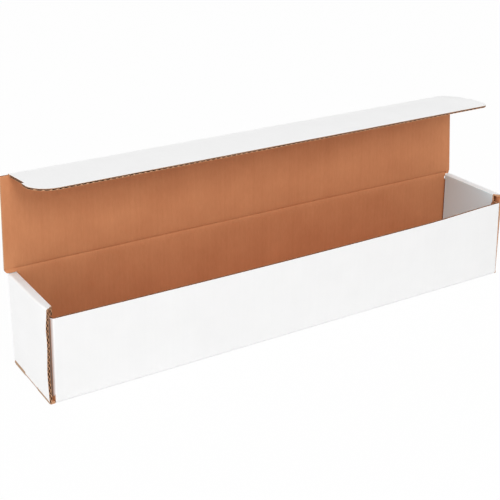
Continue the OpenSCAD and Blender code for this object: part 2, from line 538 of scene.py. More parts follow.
@dataclass
class Sheet:
    """Outer face of one board as a grid of points, flutes running along its rows."""

    points: np.ndarray
    outward: np.ndarray
    caliper: np.ndarray
    across: np.ndarray
    along: np.ndarray
    keep: np.ndarray
    wear: np.ndarray
    fill: np.ndarray
    cool: np.ndarray

    @classmethod
    def on(cls, points: np.ndarray, hint: Sequence[float], board: float,
           lengths: np.ndarray) -> "Sheet":
        """Makes a sheet of plain board on a grid.

        Args:
            points: Grid of points, first across the flutes and then along them.
            hint: Rough direction of the outer side.
            board: Thickness.
            lengths: Distance across the flutes of each grid line.

        Returns:
            The sheet.
        """
        normal = np.cross(np.gradient(points, axis=0), np.gradient(points, axis=1))
        normal /= np.linalg.norm(normal, axis=-1, keepdims=True)
        if (normal @ np.asarray(hint, float)).mean() < 0:
            normal = -normal
        size = points.shape[:2]
        steps = np.linalg.norm(np.diff(points, axis=1), axis=-1)
        along = np.concatenate([np.zeros((size[0], 1)), np.cumsum(steps, axis=1)], axis=1)
        return cls(points, normal, np.full(size, board),
                   np.broadcast_to(lengths[:, None], size).copy(), along,
                   np.ones((size[0] - 1, size[1] - 1), bool),
                   *(np.zeros(size) for _ in range(3)))

    def close_sides(self) -> None:
        """Presses the board shut along its first and last lines across the flutes."""
        self.fill[[0, -1]] = 1.0

    def face_one_way(self, row: int = 5) -> None:
        """Turns every point's outer side the way of one near the sheet's middle."""
        self.outward[:] = self.outward[len(self.outward) // 2, row]

    def crush(self, most: float, away: np.ndarray, width: float) -> None:
        """Thins the board round a fold or edge, by the distance from it."""
        self.caliper -= most * np.exp(-((away / width) ** 2))

    def mesh(self, name: str) -> bpy.types.Mesh:
        """Makes the grid's faces, turned to the outer side, with its values.

        Args:
            name: Name of the mesh.

        Returns:
            The mesh.
        """
        rows = self.points.shape[1]
        first = np.argwhere(self.keep) @ np.array([rows, 1])
        quads = np.stack([first, first + rows, first + rows + 1, first + 1], axis=1)
        flat = self.points.reshape(-1, 3)
        corner = flat[quads[0]]
        face = np.cross(corner[1] - corner[0], corner[3] - corner[0])
        if face @ self.outward.reshape(-1, 3)[quads[0, 0]] < 0:
            quads = quads[:, ::-1]
        used, index = np.unique(quads, return_inverse=True)
        mesh = bpy.data.meshes.new(name)
        mesh.from_pydata((flat[used] * MM).tolist(), [], index.reshape(-1, 4).tolist())
        self.put(mesh, Attr.OUTWARD, self.outward.reshape(-1, 3)[used])
        lengths = {Attr.CALIPER: self.caliper, Attr.ACROSS: self.across, Attr.ALONG: self.along}
        for attr, values in lengths.items():
            self.put(mesh, attr, values.ravel()[used] * MM)
        shares = {Attr.FILL: self.fill, Attr.WEAR: self.wear, Attr.COOL: self.cool}
        for attr, values in shares.items():
            self.put(mesh, attr, values.ravel()[used])
        return mesh

    @staticmethod
    def put(mesh: bpy.types.Mesh, name: Attr, values: np.ndarray) -> None:
        """Stores one value for each point of a mesh.

        Args:
            mesh: The mesh.
            name: The value's name.
            values: Numbers or vectors, one for each point.
        """
        is_vector = values.ndim == 2
        held = mesh.attributes.new(name.value, "FLOAT_VECTOR" if is_vector else "FLOAT", "POINT")
        held.data.foreach_set("vector" if is_vector else "value",
                              values.astype(np.float32).ravel())


def link(name: str, data: bpy.types.ID) -> bpy.types.Object:
    """Makes an object and puts it in the scene.

    Args:
        name: Its name.
        data: Its mesh, lamp or camera.

    Returns:
        The object.
    """
    made = bpy.data.objects.new(name, data)
    bpy.context.scene.collection.objects.link(made)
    return made


@dataclass
class BoardMaker:
    """Turns sheets into board with liners and flutes, by one geometry tree."""

    stock: BoardStock
    finishes: Finishes
    tree: bpy.types.NodeTree = field(init=False)
    sockets: dict[str, str] = field(init=False, default_factory=dict)

    def __post_init__(self) -> None:
        """Builds the tree."""
        self.tree = bpy.data.node_groups.new("corrugated_board", "GeometryNodeTree")
        self.tree.is_modifier = True
        self._declare()
        self._write()

    def _declare(self) -> None:
        kinds = {"Sheet": "Geometry", "Liner": "Float", "Medium": "Float", "Flute pitch": "Float",
                 "White": "Material", "Kraft": "Material", "Cut": "Material", "Fluting": "Material"}
        for name, kind in kinds.items():
            made = self.tree.interface.new_socket(
                name=name, in_out="INPUT", socket_type=f"NodeSocket{kind}")
            self.sockets[name] = made.identifier
        self.tree.interface.new_socket(
            name="Board", in_out="OUTPUT", socket_type="NodeSocketGeometry")

    def _write(self) -> None:
        """Writes the tree: two liners with a wave of medium between them."""
        graph = Graph(self.tree)
        given = graph.node("NodeGroupInput")
        outward = self._read(graph, Attr.OUTWARD, "FLOAT_VECTOR")
        caliper, across, fill = (self._read(graph, name, "FLOAT")
                                 for name in (Attr.CALIPER, Attr.ACROSS, Attr.FILL))
        liner, medium = given.out("Liner"), given.out("Medium")
        white, kraft, fluting = given.out("White"), given.out("Kraft"), given.out("Fluting")
        height = (caliper * 0.5 - liner - medium * 0.5).at_least(0.0)
        wave = (across * (2 * math.pi) / given.out("Flute pitch")).sine() * height * (1 - fill)
        solid = medium + height * fill * 2.0
        middle = wave - caliper * 0.5 - solid * 0.5
        layers = [(0.0 - liner, liner, white, fluting), (0.0 - caliper, liner, fluting, kraft),
                  (middle, solid, fluting, fluting)]
        parts = [self._layer(given, outward, *layer) for layer in layers]
        joined = graph.node("GeometryNodeJoinGeometry", {"Geometry": parts})
        real = graph.node("GeometryNodeRealizeInstances", {"Geometry": joined})
        graph.node("NodeGroupOutput", {"Board": real})

    @staticmethod
    def _read(graph: Graph, name: Attr, kind: str) -> Value:
        """Reads a value that the sheet carries."""
        return graph.node("GeometryNodeInputNamedAttribute", {"Name": name.value}, data_type=kind)

    @staticmethod
    def _layer(given: Value, outward: Value, depth: Value, thick: Value, over: Value,
               under: Value) -> Value:
        """Adds one closed layer of paper.

        Args:
            given: The tree's inputs.
            outward: Direction of the outer side.
            depth: Place of the layer's under face, outwards from the sheet.
            thick: Thickness of the layer.
            over: Finish of its outer face.
            under: Finish of its inner face.

        Returns:
            The layer.
        """
        node = given.graph.node
        low = node("GeometryNodeSetPosition",
                   {"Geometry": given.out("Sheet"), "Offset": outward.scaled(depth)})
        raised = node("GeometryNodeExtrudeMesh",
                      {"Mesh": low, "Offset Scale": 0.0, "Individual": False}, mode="FACES")
        top = raised.out("Top")
        placed = node("GeometryNodeSetPosition",
                      {"Geometry": raised, "Selection": top, "Offset": outward.scaled(thick)})
        rimmed = node("GeometryNodeSetMaterial", {"Geometry": placed, "Material": given.out("Cut")})
        faced = node("GeometryNodeSetMaterial",
                     {"Geometry": rimmed, "Selection": top, "Material": over})
        turned = node("GeometryNodeFlipFaces", {"Mesh": low})
        backed = node("GeometryNodeSetMaterial", {"Geometry": turned, "Material": under})
        both = node("GeometryNodeJoinGeometry", {"Geometry": [faced, backed]})
        return node("GeometryNodeMergeByDistance", {"Geometry": both, "Distance": WELD})

    def make(self, sheets: list[Sheet], name: str) -> bpy.types.Object:
        """Makes one piece from one or more sheets.

        Args:
            sheets: The sheets.
            name: Name of the piece.

        Returns:
            The piece, as a plain mesh at the origin.
        """
        meshes = [self._board(sheet, f"{name}_{i}") for i, sheet in enumerate(sheets)]
        piece, *others = [link(name, mesh) for mesh in meshes]
        if others:
            with bpy.context.temp_override(active_object=piece, object=piece,
                                           selected_editable_objects=[piece, *others]):
                bpy.ops.object.join()
        finish_mesh(piece, name)
        return piece

    def _board(self, sheet: Sheet, name: str) -> bpy.types.Mesh:
        """Runs the tree on one sheet.

        Args:
            sheet: The sheet.
            name: Name of the mesh.

        Returns:
            The board's mesh.
        """
        blank = link(f"{name}_blank", sheet.mesh(f"{name}_blank"))
        modifier = blank.modifiers.new("board", "NODES")
        modifier.node_group = self.tree
        stock, finishes = self.stock, self.finishes
        values = {"Liner": stock.liner * MM, "Medium": stock.medium * MM, "Flute pitch": stock.pitch * MM,
                  "White": finishes.white, "Kraft": finishes.kraft, "Cut": finishes.cut,
                  "Fluting": finishes.medium}
        for key, value in values.items():
            modifier[self.sockets[key]] = value
        graph = bpy.context.evaluated_depsgraph_get()
        made = bpy.data.meshes.new_from_object(blank.evaluated_get(graph))
        made.name = name
        bpy.data.objects.remove(blank)
        for extra in (Attr.OUTWARD, Attr.CALIPER, Attr.FILL):
            made.attributes.remove(made.attributes[extra.value])
        return made


def finish_mesh(piece: bpy.types.Object, name: str) -> None:
    """Names a piece's mesh and smooths its curves, keeping its edges sharp.

    Args:
        piece: The piece.
        name: The name.
    """
    piece.data.name = name
    piece.data.polygons.foreach_set("use_smooth", np.ones(len(piece.data.polygons), bool))
    piece.data.set_sharp_from_angle(angle=SHARP_ANGLE)
    LOG.info("%s: %d faces", name, len(piece.data.polygons))


def attach(piece: bpy.types.Object, body: str, slot: Slot) -> None:
    """Fixes a piece to the body that it stands for.

    Args:
        piece: The piece.
        body: The body, which has one node of the same name.
        slot: The material slot; not used.
    """
    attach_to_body(piece, body)
    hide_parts(body)


@dataclass
class Board:
    """A folded panel, or several in one, that is made as one piece and fixed to one body."""

    body: ClassVar[str] = "tray"
    slot: ClassVar[Slot] = Slot.TRAY
    sizes: BoxSizes

    @property
    def name(self) -> str:
        """Name of the piece."""
        raise NotImplementedError

    def sheets(self, stock: BoardStock) -> list[Sheet]:
        """Lays out the piece's sheets."""
        raise NotImplementedError

    def build(self, maker: BoardMaker) -> bpy.types.Object:
        """Makes the piece."""
        return maker.make(self.sheets(maker.stock), self.name)

    def dress(self, piece: bpy.types.Object) -> None:
        """Fixes the piece to its body."""
        attach(piece, self.body, self.slot)


def fillet_path(corners: Sequence[Pair], radii: Sequence[float], step: float,
                turns: int = 6) -> np.ndarray:
    """Follows straight lines with rounded corners.

    Args:
        corners: Points where the lines meet, ends included.
        radii: Radius at each point; the ends' radii aren't used.
        step: Longest distance between points on a straight run.
        turns: Segments of each rounded corner.

    Returns:
        The points of the path.
    """
    at = [np.array(c, float) for c in corners]
    knots: list[list[np.ndarray]] = [[at[0]]]
    for before, here, after, radius in zip(at, at[1:], at[2:], radii[1:]):
        back = (before - here) / np.linalg.norm(before - here)
        ahead = (after - here) / np.linalg.norm(after - here)
        half = math.acos(float(np.clip(back @ ahead, -1, 1))) / 2
        reach = radius / math.tan(half)
        bisector = (back + ahead) / np.linalg.norm(back + ahead)
        middle = here + bisector * radius / math.sin(half)
        start, end = here + back * reach - middle, here + ahead * reach - middle
        swing = math.atan2(start[0] * end[1] - start[1] * end[0], float(start @ end))
        arc = []
        for k in range(turns + 1):
            cos, sin = math.cos(swing * k / turns), math.sin(swing * k / turns)
            arc.append(middle + np.array([start[0] * cos - start[1] * sin,
                                          start[0] * sin + start[1] * cos]))
        knots.append(arc)
    knots.append([at[-1]])
    points = [knots[0][0]]
    for arc in knots[1:]:
        run = arc[0] - points[-1]
        count = math.ceil(float(np.linalg.norm(run)) / step - TINY)
        first = points[-1]
        points += [first + run * k / count for k in range(1, count + 1)]
        points += arc[1:]
    return np.array(points)


def lengths_of(path: np.ndarray) -> np.ndarray:
    """Distance along a path at each of its points."""
    return np.concatenate([[0.0], np.cumsum(np.linalg.norm(np.diff(path, axis=0), axis=1))])


@dataclass
class WallStrip(Board):
    """A long wall with the two dust flaps that turn in from its ends."""

    wall: Wall
    top: float
    dust_top: float
    bow: float
    foot_insets: Pair
    top_insets: Pair
    dust_x: float = 3.4
    dust_turn: float = 9.0
    dust_reach: float = 44.0
    dust_foot: float = 8.0
    corner_r: float = 2.0
    corner_depth: float = 14.0
    corner_inset: float = 0.4
    corner_width: float = 2.6
    bend_r: float = 8.0
    crushed_corner: float = 1.25
    crushed_foot: float = 1.3
    crushed_top: float = 0.7
    foot_fade: float = 1.6
    rim_width: float = 2.5
    lift: float = 0.0
    lift_from: float = 185.0
    lift_run: float = 120.0
    # Painted shade on the dust flaps' turns, growing deeper into the gap behind the end panel.
    shade_and_soil: float = 1.5
    gap_shade_from: float = 2.6
    gap_shade_run: float = 1.2
    fold_rows: int = 3
    foot_rows: int = 4
    wall_rows: int = 6
    top_rows: int = 5
    rim_rows: Pair = (4.0, 2.0)

    @property
    def name(self) -> str:
        """Name of the piece."""
        return f"{self.wall.name.lower()}_wall_and_dust_flaps"

    def plan(self, step: float) -> np.ndarray:
        """Outer face in plan, from one dust flap's free edge to the other's.

        Args:
            step: Distance between points.

        Returns:
            The path in X and Y.
        """
        size = self.sizes
        left, right = ([(self.dust_x, self.dust_reach), (self.dust_x, self.dust_turn),
                        (inset, 0.0)] for inset in self.foot_insets)
        corners = [(size.end_x + x, size.front_y + y) for x, y in left]
        corners += [(-size.end_x - x, size.front_y + y) for x, y in reversed(right)]
        radii = [0, self.bend_r, self.corner_r, self.corner_r, self.bend_r, 0]
        path = fillet_path(corners, radii, step)
        path[:, 1] *= -self.wall.value
        return path

    def rows(self) -> list[Pair]:
        """Lays out the rows of points up the wall.

        Returns:
            Each row's setback from the wall's face, and its height.
        """
        def parts(low: float, high: float, count: int) -> list[float]:
            """Divides a height into equal parts, both ends included."""
            return [low + (high - low) * k / count for k in range(count + 1)]

        radius, foot, high = self.sizes.fold_r, self.sizes.base_top, min(self.dust_top, self.top)
        fold = [(radius * (1 - math.sin(a)), radius * (1 - math.cos(a)))
                for a in parts(0.0, QUARTER, self.fold_rows)]
        low = foot + self.dust_foot
        rise = parts(foot, low, self.foot_rows)[:-1] + parts(low, high, self.wall_rows)
        if self.top > high:
            rise += parts(high, self.top, self.top_rows)[1:]
        else:
            rise[-1:] = [*(high - down for down in self.rim_rows), high]
        return fold + [(0.0, z) for z in rise]

    def sheets(self, stock: BoardStock) -> list[Sheet]:
        """Lays out the strip.

        Args:
            stock: The board.

        Returns:
            One sheet, the strip's outer face.
        """
        size, sign = self.sizes, self.wall.value
        path = self.plan(stock.step)
        x, y = path[:, 0], path[:, 1]
        share = np.minimum(np.abs(x) / size.wall_half, 1)
        depth = np.abs(np.abs(y) + size.front_y)
        foot, top = (np.where(x < 0, *inset) for inset in (self.foot_insets, self.top_insets))
        own = (top - foot - size.lean_at(self.top)) * np.clip(1 - depth / self.corner_depth, 0, 1)
        lift = 1 + self.lift / self.top * smooth((x - self.lift_from) / self.lift_run)
        columns = []
        rows = self.rows()
        for setback, z in rows:
            rise = np.clip((z - size.fold_r) / (self.top - size.fold_r), 0, 1)
            swell = self.bow * np.cos(QUARTER * share) * rise
            lean = (size.lean_at(z) + own * z / self.top) * share
            columns.append(np.stack([x - np.sign(x) * lean, y + sign * (swell - setback),
                                     z * lift], axis=1))
        made = Sheet.on(np.stack(columns, axis=1), (0, sign, 0), stock.thickness, lengths_of(path))
        height = np.array([z for _, z in rows])
        self.trim(made, x, depth, (height[:-1] + height[1:]) / 2)
        corner = np.abs(np.abs(x) - (size.length / 2 - foot - self.corner_inset)) + depth
        made.crush(self.crushed_corner, corner[:, None], self.corner_width)
        fold = np.clip((size.base_top - height) / size.base_top, 0, 1)
        made.caliper -= self.crushed_foot * smooth(fold * self.foot_fade)[None, :]
        if self.wall is Wall.BACK:
            crease = size.hinge_score(x[:, None], (height - size.hinge_z)[None, :])
            made.caliper = np.minimum(made.caliper, crease)
        else:
            made.crush(self.crushed_top, (self.top - height)[None, :], self.rim_width)
        return [made]

    def trim(self, made: Sheet, x: np.ndarray, depth: np.ndarray, middle: np.ndarray) -> None:
        """Cuts the dust flaps and the back wall's top corners, wears the turns' feet and paints shade
        deeper in the turns.

        Args:
            made: The strip.
            x: Place of each grid line along the box.
            depth: Distance of each grid line from the wall's face.
            middle: Height of each row of cells.
        """
        size = self.sizes
        inside = (depth[:-1] + depth[1:]) / 2
        on_wall = inside < self.corner_r / 4
        between = (x[:-1] + x[1:]) / 2
        on_crease = (between > size.crease_ends[0]) & (between < size.crease_ends[1])
        foot = size.base_top + self.dust_foot * np.clip(1 - inside / self.dust_turn, 0, 1)
        flap = (middle > size.base_top) & (middle < self.dust_top)
        wall = on_wall[:, None] & ((middle < self.dust_top)[None, :] | on_crease[:, None])
        made.keep &= wall | flap[None, :]
        turned = (~on_wall & (inside < self.dust_turn))[:, None]
        bare = turned & (middle[None, :] < foot[:, None])
        # Painted shade: the turned flap darkens deeper into the narrow gap behind the end panel.
        shade_and_soil = self.shade_and_soil * smooth((inside - self.gap_shade_from) / self.gap_shade_run)[:, None]
        made.wear[:-1, :-1] += np.where(bare, 1.0, turned * shade_and_soil)


@dataclass
class BaseBoard(Board):
    """The floor of the box, white below and brown above."""

    name: ClassVar[str] = "base_board"
    corner_setback: float = 0.8
    wall_ends: Pair = (-308.6, 310.8)
    notch_half: float = 0.1
    rows: int = 5

    def sheets(self, stock: BoardStock) -> list[Sheet]:
        """Lays out the base.

        Args:
            stock: The board.

        Returns:
            One sheet, the base's underside.
        """
        size = self.sizes
        reach = size.length / 2 - size.fold_r
        count = math.ceil(2 * reach / stock.step)
        left, right = self.wall_ends
        notches = [end + d for end in self.wall_ends for d in (-self.notch_half, self.notch_half)]
        x = np.union1d(np.linspace(-reach, reach, count), notches)
        beyond = (x < left) | (x > right)
        half = size.width / 2 - np.where(beyond, self.corner_setback, size.fold_r)
        y = half[:, None] * np.linspace(-1, 1, self.rows)[None, :]
        points = np.stack([np.broadcast_to(x[:, None], y.shape), y, np.zeros_like(y)], axis=-1)
        made = Sheet.on(points, (0, 0, -1), stock.thickness, x - x[0])
        made.outward[:] = (0, 0, -1)
        made.close_sides()
        made.fill[beyond] = 1.0
        return [made]


@dataclass
class EndBoard(Board):
    """A rolled end: outer panel, rolled top, rolled-in panel and lock tabs.

    Each curl of the left panel's free edge has an amount, a height where it starts and a run.
    Each slot has a length and a height.
    """

    side: Side
    roll: float = 9.8
    roll_r: float = 2.2
    roll_margin: float = 1.0
    inner_r: float = 0.8
    setbacks: Pair = (0.6, 0.6)
    roll_front: float = 4.0
    roll_back: float = 1.0
    inner_front: float = 5.5
    inner_back: float = 4.5
    front_clear: float = 98.2
    back_clear: float = 103.2
    step_h: float = 0.9
    curls: tuple[Triple, Triple] = ((2.4, 30.0, 45.0), (2.2, 85.0, 25.0))
    curl_from: float = 20.0
    slot_margin: float = 2.0
    front_slot: Pair = (34.0, 3.6)
    back_slot: Pair = (31.0, 5.4)
    tab_depth: float = 1.0
    tab_sink: float = 0.3
    tab_gap: float = 0.3
    tab_grid: tuple[int, int] = (6, 3)
    crushed_fold: float = 1.6
    fold_width: float = 3.2
    crushed_foot: float = 1.3
    foot_width: float = 2.2
    # Worn fold along the foot, darkest at the very bottom: real wear with a painted contact shade.
    foot_wear_and_shade_below: float = 3.6
    foot_wear_and_shade_most: float = 1.8
    # Where the painted cool light lies: fully on the rolled-in panel, a little on the roll's top.
    cool_margin: float = 0.3
    cool_roll: float = 0.2
    cool_from: float = 0.5
    cool_run: float = 2.0
    edge_fill: float = 0.25
    front_rows: int = 9

    @property
    def name(self) -> str:
        """Name of the piece."""
        return f"{self.side.name.lower()}_rolled_end"

    def sheets(self, stock: BoardStock) -> list[Sheet]:
        """Lays out the end and its tabs."""
        return [self.panel(stock), *self.tabs()]

    def profile(self, step: float) -> np.ndarray:
        """Outer face as distance from the end's face and height, from the base up and over.

        Args:
            step: Distance between points.

        Returns:
            The path.
        """
        size = self.sizes
        corners = [(size.fold_r, 0), (0, 0), (0, size.end_h), (self.roll, size.end_h),
                   (self.roll, size.base_top)]
        path = fillet_path(corners, [0, size.fold_r, self.roll_r, self.inner_r, 0], step)
        for mark in (self.front_slot[1], self.back_slot[1]):
            at = int(np.argmax((path[:, 0] < TINY) & (path[:, 1] > mark)))
            path = np.insert(path, at, (0.0, mark), axis=0)
        return path

    def limits(self, path: np.ndarray) -> tuple[np.ndarray, np.ndarray]:
        """Front and back limits of the board at each point of the path.

        Args:
            path: The profile.

        Returns:
            The two limits in Y.
        """
        size = self.sizes
        half = size.width / 2
        into, z = path[:, 0], path[:, 1]
        over = smooth((into - size.board) / (self.roll - size.board - self.roll_margin))
        on_panel = into > self.roll - TINY
        cuts = []
        edges = ((self.roll_front, self.inner_front, self.front_clear, self.setbacks[0]),
                 (self.roll_back, self.inner_back, self.back_clear, self.setbacks[1]))
        for rolled, inner, clear, setback in edges:
            drop = smooth((clear + self.step_h - z) / self.step_h)
            cut = setback + (rolled - setback) * over
            cuts.append(cut + np.where(on_panel, (inner - rolled) * drop, 0))
        return cuts[0] - half, half - cuts[1]

    def lean(self, path: np.ndarray, y: np.ndarray) -> np.ndarray:
        """How far each point leans in; the left panel curls at its free front edge.

        Args:
            path: The profile.
            y: Place of each point across the box.

        Returns:
            The lean.
        """
        size = self.sizes
        into, z = path[:, :1], path[:, 1:]
        plain = size.lean_at(z)
        if self.side is Side.RIGHT:
            return np.broadcast_to(plain, y.shape)
        curled = sum(most * smooth((z - start) / run) for most, start, run in self.curls)
        free = size.width / 2 - self.setbacks[0]
        near = np.clip((-y - self.curl_from) / (free - self.curl_from), 0, 1) ** 2
        return plain + (curled - plain) * near * (1 - smooth(into / self.roll))

    def slots(self) -> list[Triple]:
        """Slots at the foot as front limit, back limit and height."""
        half = self.sizes.width / 2 - self.slot_margin
        return [(-half, -half + self.front_slot[0], self.front_slot[1]),
                (half - self.back_slot[0], half, self.back_slot[1])]

    def panel(self, stock: BoardStock) -> Sheet:
        """Lays out the rolled board.

        Args:
            stock: The board.

        Returns:
            Its outer face.
        """
        size, sign = self.sizes, self.side.value
        path = self.profile(stock.step)
        front, back = self.limits(path)
        half = size.width / 2 - self.setbacks[1]
        marks = sorted({y for y0, y1, _ in self.slots() for y in (y0, y1)}
                       | {half} | set(np.linspace(-half, 0, self.front_rows).tolist()))
        share = (np.array(marks) + half) / (2 * half)
        y = front[:, None] + (back - front)[:, None] * share[None, :]
        x = -sign * (size.end_x + path[:, :1] + self.lean(path, y))
        points = np.stack([x, y, np.broadcast_to(path[:, 1:], y.shape)], axis=-1)
        made = Sheet.on(points, (0, 0, 1), stock.thickness, lengths_of(path))
        outer = int(np.argmax(path[:, 1] > size.end_h / 2))
        if made.outward[outer, 0, 0] * sign < 0:
            made.outward = -made.outward
        into, z = path[:, 0], path[:, 1]
        bend = np.minimum(np.hypot(into, z - size.end_h),
                          np.hypot(into - self.roll, z - size.end_h))
        made.crush(self.crushed_fold, bend[:, None], self.fold_width)
        made.crush(self.crushed_foot, np.hypot(into, z)[:, None], self.foot_width)
        # Worn fold along the foot, darkest at the very bottom: real wear with a painted contact shade.
        worn = np.clip(self.foot_wear_and_shade_below - z, 0, self.foot_wear_and_shade_most)
        made.wear += np.where(into < size.board, worn, 0)[:, None]
        # Painted cool light on the rolled-in panel and a little on the roll's top, against the brown
        # light reflected inside the box.
        rolled = self.cool_roll * smooth((into - self.cool_from) / self.cool_run)
        made.cool += np.where(into > self.roll - self.cool_margin, 1.0, rolled)[:, None]
        made.fill[:, [0, -1]] = self.edge_fill
        self.cut_slots(made, path, np.array(marks))
        return made

    def cut_slots(self, made: Sheet, path: np.ndarray, marks: np.ndarray) -> None:
        """Opens the slots at the foot.

        Args:
            made: The sheet.
            path: Its profile.
            marks: Its grid lines in Y on the outer panel.
        """
        middle = (marks[:-1] + marks[1:]) / 2
        height = (path[:-1, 1] + path[1:, 1]) / 2
        outer = path[:-1, 0] < self.sizes.board
        for y0, y1, top in self.slots():
            open_rows = (middle > y0) & (middle < y1)
            made.keep &= ~((outer & (height < top))[:, None] & open_rows[None, :])

    def tabs(self) -> list[Sheet]:
        """Lays out the lock tabs that show in the slots, brown side outwards.

        Returns:
            The tabs' white faces.
        """
        size, sign, gap = self.sizes, self.side.value, self.tab_gap
        made = []
        for y0, y1, top in self.slots():
            z = np.linspace(gap, top - gap, self.tab_grid[0])
            y = np.linspace(y0 + gap, y1 - gap, self.tab_grid[1])
            x = -sign * (size.end_x + self.tab_sink + self.tab_depth)
            grid_z, grid_y = np.meshgrid(z, y, indexing="ij")
            points = np.stack([np.full_like(grid_z, x), grid_y, grid_z], axis=-1)
            made.append(Sheet.on(points, (-sign, 0, 0), self.tab_depth, z))
            made[-1].wear[:] = 1.0
        return made


def end_columns(ends: Pair, corners: Pair, step: float, least: int = 10, spread: float = 1.3,
                turn: float = math.radians(88.5)) -> np.ndarray:
    """Grid lines along X, closer together round the two end corners.

    Args:
        ends: Distance of the left and right end from the middle.
        corners: Length of the rounded corner at each end.
        step: Distance between lines elsewhere.
        least: Fewest lines in a corner.
        spread: Length of a corner's curve as a share of the corner's length.
        turn: Angle at which the corner's last line lies.

    Returns:
        The lines, from one end to the other.
    """
    inner = [end - corner for end, corner in zip(ends, corners)]
    middle = np.linspace(-inner[0], inner[1], math.ceil(sum(inner) / step))
    turns = []
    for start, corner in zip(inner, corners):
        steps = max(least, math.ceil(corner * spread / step))
        turns.append(start + corner * np.sin(np.linspace(0, turn, steps + 1)[1:]))
    return np.concatenate([-turns[0][::-1], middle, turns[1]])


@dataclass
class LidBoard(Board):
    """The lid, standing on its crease."""

    name: ClassVar[str] = "lid_panel"
    body: ClassVar[str] = "lid"
    slot: ClassVar[Slot] = Slot.LID
    cut_w: Pair = (4.0, 2.0)
    cut_h: float = 4.0
    heel: float = -1.0
    edge: float = 108.3
    sides: Pair = (315.0, 312.4)
    tapers: Pair = (0.0458, 0.092)
    crease_columns: Pair = (-298.4, 305.5)
    flap_column: float = -302.3
    step_half: float = 0.05
    foot_rows: tuple[float, ...] = (0.0, 1.0, 2.0, 3.0, 4.0, 5.0, 6.5, 8.5, 11.0)
    head_rows: tuple[float, ...] = (4.0, 2.6, 1.2, 0.0)
    middle_shares: Triple = (0.25, 0.5, 0.75)

    def sheets(self, stock: BoardStock) -> list[Sheet]:
        """Lays out the lid.

        Args:
            stock: The board.

        Returns:
            One sheet, its outer face.
        """
        size = self.sizes
        steps = [column + d for column in (*self.crease_columns, self.flap_column)
                 for d in (-self.step_half, self.step_half)]
        x = np.union1d(end_columns((size.lid_half,) * 2, self.cut_w, stock.step), steps)
        width = np.where(x < 0, *self.cut_w)
        over = np.clip((np.abs(x) - size.lid_half + width) / width, 0, 1)
        corner = self.heel + (self.cut_h - self.heel) * (1 - np.sqrt(1 - over ** 2))
        first, last = self.crease_columns
        foot = np.where((x > first) & (x < last), size.hinge_half, corner)
        head = np.where(x > self.flap_column, size.lid_depth - size.crease_half, self.edge)
        head -= size.droop_at(self.tapered(x, size.lid_depth))
        low, high, share = map(np.array, (self.foot_rows, self.head_rows, self.middle_shares))
        first, last = foot + low[-1], head - high[0]
        up = np.concatenate([foot[:, None] + low, first[:, None] + (last - first)[:, None] * share,
                             head[:, None] - high], axis=1)
        points = size.on_lid(self.tapered(x[:, None], up), np.full_like(up, size.board / 2), up)
        made = Sheet.on(points, (0, 1, 0), stock.thickness, x - x[0])
        made.face_one_way()
        made.caliper = np.minimum(size.hinge_score(points[..., 0], up),
                                  size.scored(up - size.lid_depth))
        made.close_sides()
        return [made]

    def tapered(self, x: np.ndarray, up: np.ndarray | float) -> np.ndarray:
        """Draws the lid's sides in towards its head.

        Args:
            x: Grid lines of a lid with upright sides.
            up: Distance from the hinge axis.

        Returns:
            The grid lines' places there.
        """
        half = self.sizes.lid_half
        left, right = (side - taper * up for side, taper in zip(self.sides, self.tapers))
        wider = np.where(x < 0, left, right) - half
        return x + np.sign(x) * wider * (x / half) ** 2


